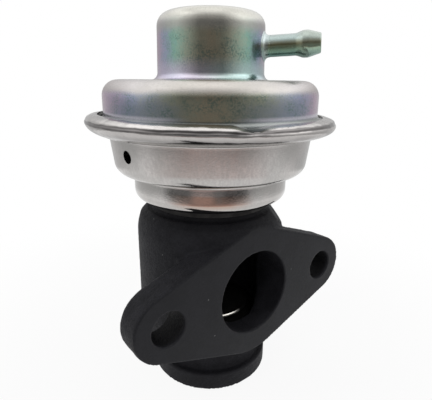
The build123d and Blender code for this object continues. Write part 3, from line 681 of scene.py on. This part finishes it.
def drawn_waves(point, normal):
    """The cover's slight waves, and the shallow dent on its shoulder."""
    waves = 0.05 * ripple(point, 17.0, 41.0) + 0.012 * ripple(point, 3.0, 43.0)
    dent = -DENT_DEPTH * hump((point - DENT_PLACE).length, DENT_WIDTH)
    return point + normal * (waves + dent)


def upper_shell(material):
    """The cap and shoulder, one pressing, with its flange inside the rolled rim."""
    flange = flange_under + UPPER_SHEET
    shoulder = flange + SHOULDER_HEIGHT
    shoulder_radius = rim_radius - SHOULDER_LEDGE
    line = [
        (0, cap_top),
        (CAP_RADIUS, cap_top),
        (CAP_RADIUS + CAP_FLARE, shoulder),
        (shoulder_radius, shoulder),
        (shoulder_radius, flange),
        (rim_radius - 1.5, flange),
    ]
    outline = sheet_outline(rounded(line, COVER_CORNERS), UPPER_SHEET, -1)
    piece = lathe("upper_shell", outline, material, ROUND_SEGMENTS, drawn_waves)
    return cut(piece, drill(NIPPLE_RADIUS, 48, nipple_place(), material))


# ---- The nipple ----
def nipple_place():
    """Where the nipple's axis leaves the cap's wall, with Z out along it."""
    turn = Matrix.Rotation(radians(NIPPLE_ANGLE), 4, "Z")
    root = turn @ Vector((CAP_RADIUS, 0, cap_top - NIPPLE_DROP))
    return Matrix.Translation(root) @ turn @ Matrix.Rotation(radians(90 - NIPPLE_TILT), 4, "Y")


def nipple(material):
    """The bored hose tube and its rounded barb."""
    barb_end = BARB_CREST + BARB_LAND
    line = [
        (NIPPLE_BORE, -UPPER_SHEET),
        (NIPPLE_RADIUS, -UPPER_SHEET),
        (NIPPLE_RADIUS, BARB_START),
        (BARB_RADIUS, BARB_CREST),
        (BARB_RADIUS, barb_end),
        (BARB_TIP_RADIUS, NIPPLE_LENGTH),
        (NIPPLE_BORE, NIPPLE_LENGTH),
        (NIPPLE_BORE, -UPPER_SHEET),
    ]
    corners = (0.1, 1.5, 1.5, 1.5, 0.3, 0.2)
    outline = rounded(line, corners, 0.3)[:-1]
    return lathe("nipple_tube", outline, material, 112, tube_waves, nipple_place())


def tube_waves(point, normal):
    """The nipple's slight unevenness."""
    return point + normal * 0.03 * ripple(point, 2.4, 51.0)


def on_cap(place, out, reach, lift):
    """A point over the cap's wall, in the nipple's frame, at a reach from its axis and a lift off the wall."""
    point = place @ (out * reach)
    height = (point.z - (flange_under + UPPER_SHEET + SHOULDER_HEIGHT)) / (cap_top - point.z + 1)
    wall = CAP_RADIUS + CAP_FLARE * max(0.0, 1 - height / 4) + lift
    depth = sqrt(max(0.0, wall**2 - point.dot(CROSSWISE) ** 2)) - point.dot(OUTWARD)
    return place.inverted() @ (point + OUTWARD * depth)


def braze(material):
    """The braze that wets the cap and the nipple's root: a hollow fillet of uneven width."""
    place = nipple_place()
    around, along, buried = 96, 12, 0.3
    mesh = bmesh.new()
    rings = []
    for i in range(around):
        angle = 2 * pi * i / around
        out = Vector((cos(angle), sin(angle), 0))
        width = 1.05 + 0.25 * ripple(out, 0.7, 61.0) + 0.10 * ripple(out, 0.2, 63.0)
        climb = 1.25 + 0.30 * ripple(out, 0.6, 67.0)
        foot = on_cap(place, out, NIPPLE_RADIUS + width, 0.02)
        corner = on_cap(place, out, NIPPLE_RADIUS, 0.25)
        top = out * (NIPPLE_RADIUS + 0.03) + Vector((0, 0, corner.z + climb))
        steps = [k / along for k in range(along + 1)]
        ring = [foot.lerp(corner, t).lerp(corner.lerp(top, t), t) for t in steps]
        ring.append(out * (NIPPLE_RADIUS - 0.2) + Vector((0, 0, top.z - 0.2)))
        ring.append(on_cap(place, out, NIPPLE_RADIUS - 0.2, -buried))
        ring.append(on_cap(place, out, NIPPLE_RADIUS + width, -buried))
        rings.append([mesh.verts.new(place @ p) for p in ring])
    return tube("braze_fillet", rings, False, mesh, material)


# ---- The casting ----
def even_body(material):
    """The frame's own casting, welded, evenly remeshed and slightly softened."""
    source = nodes["valve_body"].data.copy()
    welded = bmesh.new()
    welded.from_mesh(source)
    bmesh.ops.remove_doubles(welded, verts=welded.verts, dist=1e-3 * MM)
    welded.to_mesh(source)
    welded.free()
    piece = finish_mesh("casting", source, material)
    even = piece.modifiers.new("even", "REMESH")
    even.mode = "VOXEL"
    even.voxel_size = VOXEL * MM
    even.use_smooth_shade = True
    soft = piece.modifiers.new("soft", "SMOOTH")
    soft.factor = 0.5
    soft.iterations = 4
    return applied(piece)


def vertex_rows(mesh, attribute):
    """One row of three numbers for each vertex."""
    flat = np.empty(len(mesh.vertices) * 3)
    mesh.vertices.foreach_get(attribute, flat)
    return flat.reshape(-1, 3)


def true_up(co, normals):
    """Machined faces and bores set true in co, and each vertex's share of cast skin."""
    x, y, z = co.T
    cast = np.ones(len(co))

    def machined(near, share=0.0):
        cast[near] = np.minimum(cast[near], share)

    snap = 0.75 * VOXEL
    front = (y < face_y + snap) & (normals[:, 1] < -0.6)
    machined(y < face_y + 2 * snap, 0.25)
    machined(front)
    y[front] = face_y
    across = np.abs(normals[:, 1]) < 0.6
    for centre, radius, depth in (
        (0, PORT_RADIUS, PORT_DEPTH),
        (-BOLT_SPACING / 2, BOLT_HOLE_RADIUS, FLANGE_THICKNESS),
        (BOLT_SPACING / 2, BOLT_HOLE_RADIUS, FLANGE_THICKNESS),
    ):
        reach = np.hypot(x - centre, z - FLANGE_HEIGHT)
        near = np.abs(reach - radius) < 1.2 * snap
        bore = across & near & (y < face_y + depth + snap) & (y > face_y - snap)
        machined(bore)
        x[bore] = centre + (x - centre)[bore] * radius / reach[bore]
        z[bore] = FLANGE_HEIGHT + (z - FLANGE_HEIGHT)[bore] * radius / reach[bore]
    reach = np.hypot(x, y)
    near = np.abs(reach - SPIGOT_RADIUS) < 1.2 * snap
    lip = near & (z < SPIGOT_LIP_HEIGHT + snap) & (np.abs(normals[:, 2]) < 0.5)
    machined((z < SPIGOT_LIP_HEIGHT + 1) & (reach > SPIGOT_RADIUS - 3), 0.15)
    for axis in (x, y):
        axis[lip] = axis[lip] * SPIGOT_RADIUS / reach[lip]
    inside = (reach < PORT_RADIUS + 4) & (z < land_z - 0.2)
    machined(inside & (z < FLANGE_HEIGHT - PORT_RADIUS + 2))
    top = (z > land_z - snap) & (normals[:, 2] > 0.6)
    machined(z > land_z - 2 * snap)
    z[top] = land_z
    foot = (z < snap) & (normals[:, 2] < -0.6)
    z[foot] = 0
    return cast


def cast_skin(point):
    """How far the sand's skin stands off the true surface at a point, in millimetres."""
    pits = smooth(0.25, 0.8, ripple(point, 1.1, 83.0)) * smooth(-0.1, 0.6, ripple(point, 9.0, 89.0))
    waves = 0.05 * ripple(point, 7.0, 71.0) + 0.05 * ripple(point, 1.5, 73.0)
    return waves + 0.03 * ripple(point, 0.75, 79.0) - 0.12 * pits


def casting(material):
    """The iron body: the frame's own shape, with a sandy skin and exact machined faces and bores."""
    piece = even_body(material)
    mesh = piece.data
    co, normals = vertex_rows(mesh, "co") / MM, vertex_rows(mesh, "normal")
    cast = true_up(co, normals)
    skin = np.array([cast_skin(Vector(p)) for p in co])
    co += normals * (cast * skin)[:, None]
    mesh.vertices.foreach_set("co", (co * MM).ravel())
    mesh.update()
    mesh.materials.clear()
    mesh.materials.append(material)
    mesh.polygons.foreach_set("use_smooth", [True] * len(mesh.polygons))
    return piece


# ---- The spring and the diaphragm ----
def spring(material):
    """The closing spring: a round wire in a helix, its ends closed against the cup and the seat."""
    low, high = box_mm("return_spring")
    radius = high.x - SPRING_WIRE_RADIUS
    sides, per_turn, closed_share = 16, 72, 0.12
    count = int(SPRING_TURNS * per_turn)
    first, last = low.z + SPRING_WIRE_RADIUS, high.z - SPRING_WIRE_RADIUS
    mesh = bmesh.new()
    rings = []
    for i in range(count + 1):
        share = i / count
        angle = 2 * pi * SPRING_TURNS * share
        ends = (smooth(0.0, 0.2, share) + smooth(0.8, 1.0, share) - 1) * closed_share
        height = first + (last - first) * max(0.0, min(1.0, share + ends * (1 - 2 * share) * 0.5))
        centre = Vector((radius * cos(angle), radius * sin(angle), height))
        out = Vector((cos(angle), sin(angle), 0)) * SPRING_WIRE_RADIUS
        up = Vector((0, 0, SPRING_WIRE_RADIUS))
        sweep = [2 * pi * k / sides for k in range(sides)]
        rings.append([mesh.verts.new(centre + out * cos(side) + up * sin(side)) for side in sweep])
    return tube("spring_coil", rings, True, mesh, material)


def rubber(material):
    """The diaphragm in three parts: the clamped bead, the flexing web and the disc between the plates."""
    high, plate = box_mm("diaphragm")[1], box_mm("support_plate")[1]
    thick, bead_width, bead_height, hole, rows = 1.0, 3.2, 1.9, 2.5, 14
    bead_out, bead_in, bead_low = high.x, high.x - bead_width, high.z - bead_height
    web_in, disc_low, disc_high = plate.x + thick, plate.z, plate.z + thick
    section = [
        (bead_in, bead_low),
        (bead_out, bead_low + 0.5),
        (bead_out, high.z),
        (bead_in, high.z),
        (bead_in, bead_low),
    ]
    bead = lathe("diaphragm_bead", rounded(section, [0.3, 0.3, 0.3])[:-1], material)
    steps = [k / rows for k in range(rows + 1)]
    under = [Vector((web_in, disc_low)).lerp(Vector((bead_in, high.z - thick)), t) for t in steps]
    over = [Vector((bead_in, high.z)).lerp(Vector((web_in, disc_high)), t) for t in steps]
    flexing = lathe("diaphragm_web", under + over, material)
    ring = [(hole, disc_low), (web_in, disc_low), (web_in, disc_high), (hole, disc_high)]
    return bead, flexing, lathe("diaphragm_disc", ring, material)


# ---- What the object is made of ----
finishes = {
    "casting_black": cast_iron(),
    "plated_cover": rainbow_zinc(),
    "bare_cover": drawn_steel(),
    "machined_steel": soot_and_shade_steel(),
    "guide_bronze": plain_metal("sintered_bronze", (0.50, 0.34, 0.18), (0.36, 0.23, 0.12), 0.34, 0.5),
    "pressed_steel": plain_metal("pressed_strip", (0.50, 0.48, 0.45), (0.40, 0.39, 0.37), 0.30, 0.6),
    "fastener_steel": plain_metal("zinc_fastener", (0.52, 0.50, 0.44), (0.40, 0.39, 0.36), 0.30, 0.4),
    "spring_steel": grainy("tempered_wire", (0.22, 0.20, 0.19), (0.12, 0.12, 0.13), 0.34, 0.5, 1.0, 0.01),
    "diaphragm_rubber": grainy(
        "coated_rubber", (0.018, 0.018, 0.019), (0.030, 0.030, 0.032), 0.55, 0.5, 0.0, 0.03
    ),
    "seal_graphite": grainy(
        "pressed_graphite", (0.05, 0.05, 0.052), (0.03, 0.03, 0.032), 0.42, 0.4, 0.3, 0.02
    ),
    "gasket_fibre": grainy(
        "fibre_board", (0.030, 0.028, 0.027), (0.018, 0.017, 0.017), 0.75, 0.5, 0.0, 0.06
    ),
}
for node in nodes.values():
    for slot in node.material_slots:
        slot.material = finishes[slot.material.name]

tube_finish = rainbow_tube()
for piece, body, slot, replaced in (
    (casting(finishes["casting_black"]), "housing", "casting_black", "valve_body"),
    (lower_shell(finishes["bare_cover"]), "housing", "bare_cover", "lower_cover"),
    (upper_shell(finishes["plated_cover"]), "housing", "plated_cover", "upper_cover"),
    (nipple(tube_finish), "housing", "plated_cover", "vacuum_nipple"),
):
    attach(piece, body)
    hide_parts(replaced)

fillet = braze(tube_finish)
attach(fillet, "housing")

coil = spring(finishes["spring_steel"])
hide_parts("return_spring")
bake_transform(coil)

bead, web, disc = rubber(finishes["diaphragm_rubber"])
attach(bead, "housing")
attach(disc, "valve")
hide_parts("diaphragm")
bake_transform(web)


# ---- The stage ----
# The camera's values were fitted to the photograph's silhouette, bolt holes, port and rim.
CAMERA_PLACE = Vector((-66.071, -85.764, 83.797))
CAMERA_TURN, CAMERA_TILT, CAMERA_ROLL = 51.518, -16.692, 0.500
CAMERA_LENS = 32.52
FLOOR_RADIUS, SHADOW_FROM, SHADOW_TO, SHADOW_SHARE = 2500, 50, 150, 0.92
SOFT_LIGHT = 0.42
CARD_RADIUS, CARD_LOW, CARD_HIGH, LID_HEIGHT, LID_RADIUS = 142, 0.5, 420, 560, 230

# A graduated card stands all round the part, for its metal to reflect. Angles are in degrees.
CARD_GREY = (1.0, 1.0, 1.0)
CARD_ROSE = (1.0, 0.78, 0.74)
CARD_ROSE_BELOW = 20
CARD_MIDDLE, CARD_SIDES = 25, 70
# Bands: a height, and the level at the middle of the camera's side, left of it, right of it and behind.
CARD_BANDS = (
    (1, 1.0, 1.1, 1.1, 1.0),
    (12, 0.5, 1.1, 1.1, 1.0),
    (18, 0.4, 1.2, 1.1, 0.9),
    (22, 0.2, 0.6, 0.6, 0.8),
    (30, 0.2, 0.5, 0.5, 0.8),
    (62, 0.3, 0.5, 0.6, 0.8),
    (106, 0.2, 1.0, 1.0, 0.4),
    (175, 0.6, 1.8, 2.4, 0.9),
    (270, 1.1, 2.2, 2.0, 1.6),
    (400, 1.6, 1.6, 1.6, 1.6),
)
# Soft patches: the angle from the camera's side and the height, half of each size, the hue and the level.
CARD_PATCHES = (
    ((-45, 24), (25, 5), CARD_GREY, 0.1),
    ((35, 24), (25, 5), CARD_GREY, 0.05),
    ((-10, 22), (22, 5), CARD_ROSE, 0.6),
)


def emission(shade, colour, strength=1.0):
    made = shade.node("ShaderNodeEmission")
    shade.put(colour, made.inputs["Color"])
    shade.put(strength, made.inputs["Strength"])
    return made.outputs[0]


def shader_mix(shade, share, a, b):
    made = shade.node("ShaderNodeMixShader")
    for value, socket in zip((share, a, b), made.inputs):
        shade.put(value, socket)
    return made.outputs[0]


def output(shade, shader):
    shade.tree.links.new(shader, shade.tree.nodes["Material Output"].inputs["Surface"])
    return shade.material


def level_disc(radius, height=0.0):
    """A level disc as a mesh, in millimetres."""
    mesh = bmesh.new()
    bmesh.ops.create_circle(mesh, cap_ends=True, segments=96, radius=radius)
    mesh.transform(Matrix.Translation((0, 0, height)))
    return mesh


def floor():
    """A white floor. It keeps the object's shadow, and is plain white in reflections and far out in view."""
    shade = Shade("floor_white")
    diffuse = shade.node("ShaderNodeBsdfDiffuse")
    shade.put((0.7, 0.7, 0.7), diffuse.inputs["Color"])
    seen = shade.node("ShaderNodeLightPath").outputs
    radius, _, _ = shade.around()
    clear = shade.ease(radius, SHADOW_FROM, SHADOW_TO, SHADOW_SHARE, 1.0)
    white = shade.times(seen["Is Camera Ray"], clear)
    for kind in ("Is Glossy Ray", "Is Transmission Ray"):
        white = shade.math("MAXIMUM", white, seen[kind])
    mixed = shader_mix(shade, white, diffuse.outputs[0], emission(shade, (1, 1, 1)))
    return built("floor", level_disc(FLOOR_RADIUS), output(shade, mixed))


def card_band(shade, place, height, middle, left, right, back):
    """One band's colours all round the card."""
    hue = CARD_ROSE if height < CARD_ROSE_BELOW else CARD_GREY
    stops = []
    for angle, colour, level in (
        (-180, CARD_GREY, back),
        (-CARD_SIDES, CARD_GREY, left),
        (-CARD_MIDDLE, hue, middle),
        (CARD_MIDDLE, hue, middle),
        (CARD_SIDES, CARD_GREY, right),
        (180, CARD_GREY, back),
    ):
        stops.append((angle / 360 + 0.5, tuple(level * c for c in colour)))
    return shade.ramp(place, *stops)


def card_tone(shade):
    """The card's colour: its bands eased into each other, and the soft patches over them."""
    _, turn, z = shade.around()
    away = shade.minus(turn, ZONE_TURN)
    away = shade.minus(away, shade.times(shade.math("GREATER_THAN", away, pi), 2 * pi))
    away = shade.times(away, 180 / pi)
    place = shade.plus(shade.math("DIVIDE", away, 360), 0.5)
    tone = card_band(shade, place, *CARD_BANDS[0])
    for below, band in zip(CARD_BANDS, CARD_BANDS[1:]):
        tone = shade.mix(shade.ease(z, below[0], band[0]), tone, card_band(shade, place, *band))
    for (angle, height), (wide, high), hue, level in CARD_PATCHES:
        across = shade.math("DIVIDE", shade.minus(away, angle), wide)
        up = shade.math("DIVIDE", shade.minus(z, height), high)
        inside = shade.ease(shade.length(across, up), 1.0, 0.4)
        tone = shade.mix(inside, tone, tuple(level * c for c in hue))
    return tone


def card():
    """A graduated card all round: dark on the camera's side, with soft patches low down."""
    shade = Shade("card_tones")
    mesh = bmesh.new()
    count = 96
    strips = []
    for i in range(count):
        x, y = CARD_RADIUS * cos(2 * pi * i / count), CARD_RADIUS * sin(2 * pi * i / count)
        strips.append([mesh.verts.new((x, y, height)) for height in (CARD_LOW, CARD_HIGH)])
    for a, b in zip(strips, strips[1:] + strips[:1]):
        mesh.faces.new((a[0], b[0], b[1], a[1]))
    return reflected(built("card", mesh, output(shade, emission(shade, card_tone(shade)))))


def lid():
    """A bright overhead panel."""
    shade = Shade("lid_tones")
    radius, _, _ = shade.around()
    level = shade.ease(radius, 60, LID_RADIUS, 1.9, 1.6)
    material = output(shade, emission(shade, (1, 1, 1), level))
    return reflected(built("lid", level_disc(LID_RADIUS, LID_HEIGHT), material))


def reflected(piece):
    """A card for metal to reflect, unseen by the camera, that neither lights nor shades anything."""
    piece.visible_camera = False
    piece.visible_diffuse = False
    piece.visible_shadow = False
    return piece


def lamp(name, turn, height, distance, size, watts):
    """A square soft lamp aimed at the middle of the object."""
    light = bpy.data.lights.new(name, "AREA")
    light.size = size * MM
    light.energy = watts
    piece = bpy.data.objects.new(name, light)
    bpy.context.scene.collection.objects.link(piece)
    angle = radians(turn)
    place = Vector((distance * cos(angle), distance * sin(angle), height)) * MM
    piece.location = place
    piece.rotation_euler = (Vector((0, 0, cap_top / 2 * MM)) - place).to_track_quat("-Z", "Y").to_euler()
    piece.visible_glossy = False
    return piece


def world():
    """White all round in view and in reflections, and plain soft light on everything else."""
    made = bpy.data.worlds.new("studio")
    made.use_nodes = True
    tree = made.node_tree
    background = tree.nodes["Background"]
    seen = tree.nodes.new("ShaderNodeLightPath").outputs
    white = seen["Is Camera Ray"]
    for kind in ("Is Glossy Ray", "Is Transmission Ray"):
        most = tree.nodes.new("ShaderNodeMath")
        most.operation = "MAXIMUM"
        tree.links.new(white, most.inputs[0])
        tree.links.new(seen[kind], most.inputs[1])
        white = most.outputs[0]
    level = tree.nodes.new("ShaderNodeMapRange")
    level.inputs["To Min"].default_value = SOFT_LIGHT
    level.inputs["To Max"].default_value = 1.0
    tree.links.new(white, level.inputs["Value"])
    tree.links.new(level.outputs["Result"], background.inputs["Strength"])
    background.inputs["Color"].default_value = (1, 1, 1, 1)
    bpy.context.scene.world = made


floor()
card()
lid()
world()
lamp("lamp_front", turn=-95, height=330, distance=420, size=320, watts=0.35)
lamp("lamp_left", turn=185, height=420, distance=380, size=420, watts=0.55)
lamp("lamp_top", turn=60, height=560, distance=120, size=700, watts=1.9)

# ---- The camera ----
view = bpy.data.cameras.new("camera")
view.lens = CAMERA_LENS
view.clip_start = 0.005
camera = bpy.data.objects.new("camera", view)
turn = Matrix.Rotation(radians(CAMERA_TURN - 90), 4, "Z")
tilt = Matrix.Rotation(radians(90 + CAMERA_TILT), 4, "X")
roll = Matrix.Rotation(radians(CAMERA_ROLL), 4, "Z")
camera.matrix_world = Matrix.Translation(CAMERA_PLACE * MM) @ turn @ tilt @ roll
bpy.context.scene.collection.objects.link(camera)
bpy.context.scene.camera = camera
bpy.context.scene.view_settings.view_transform = "Standard"

bpy.context.view_layer.update()
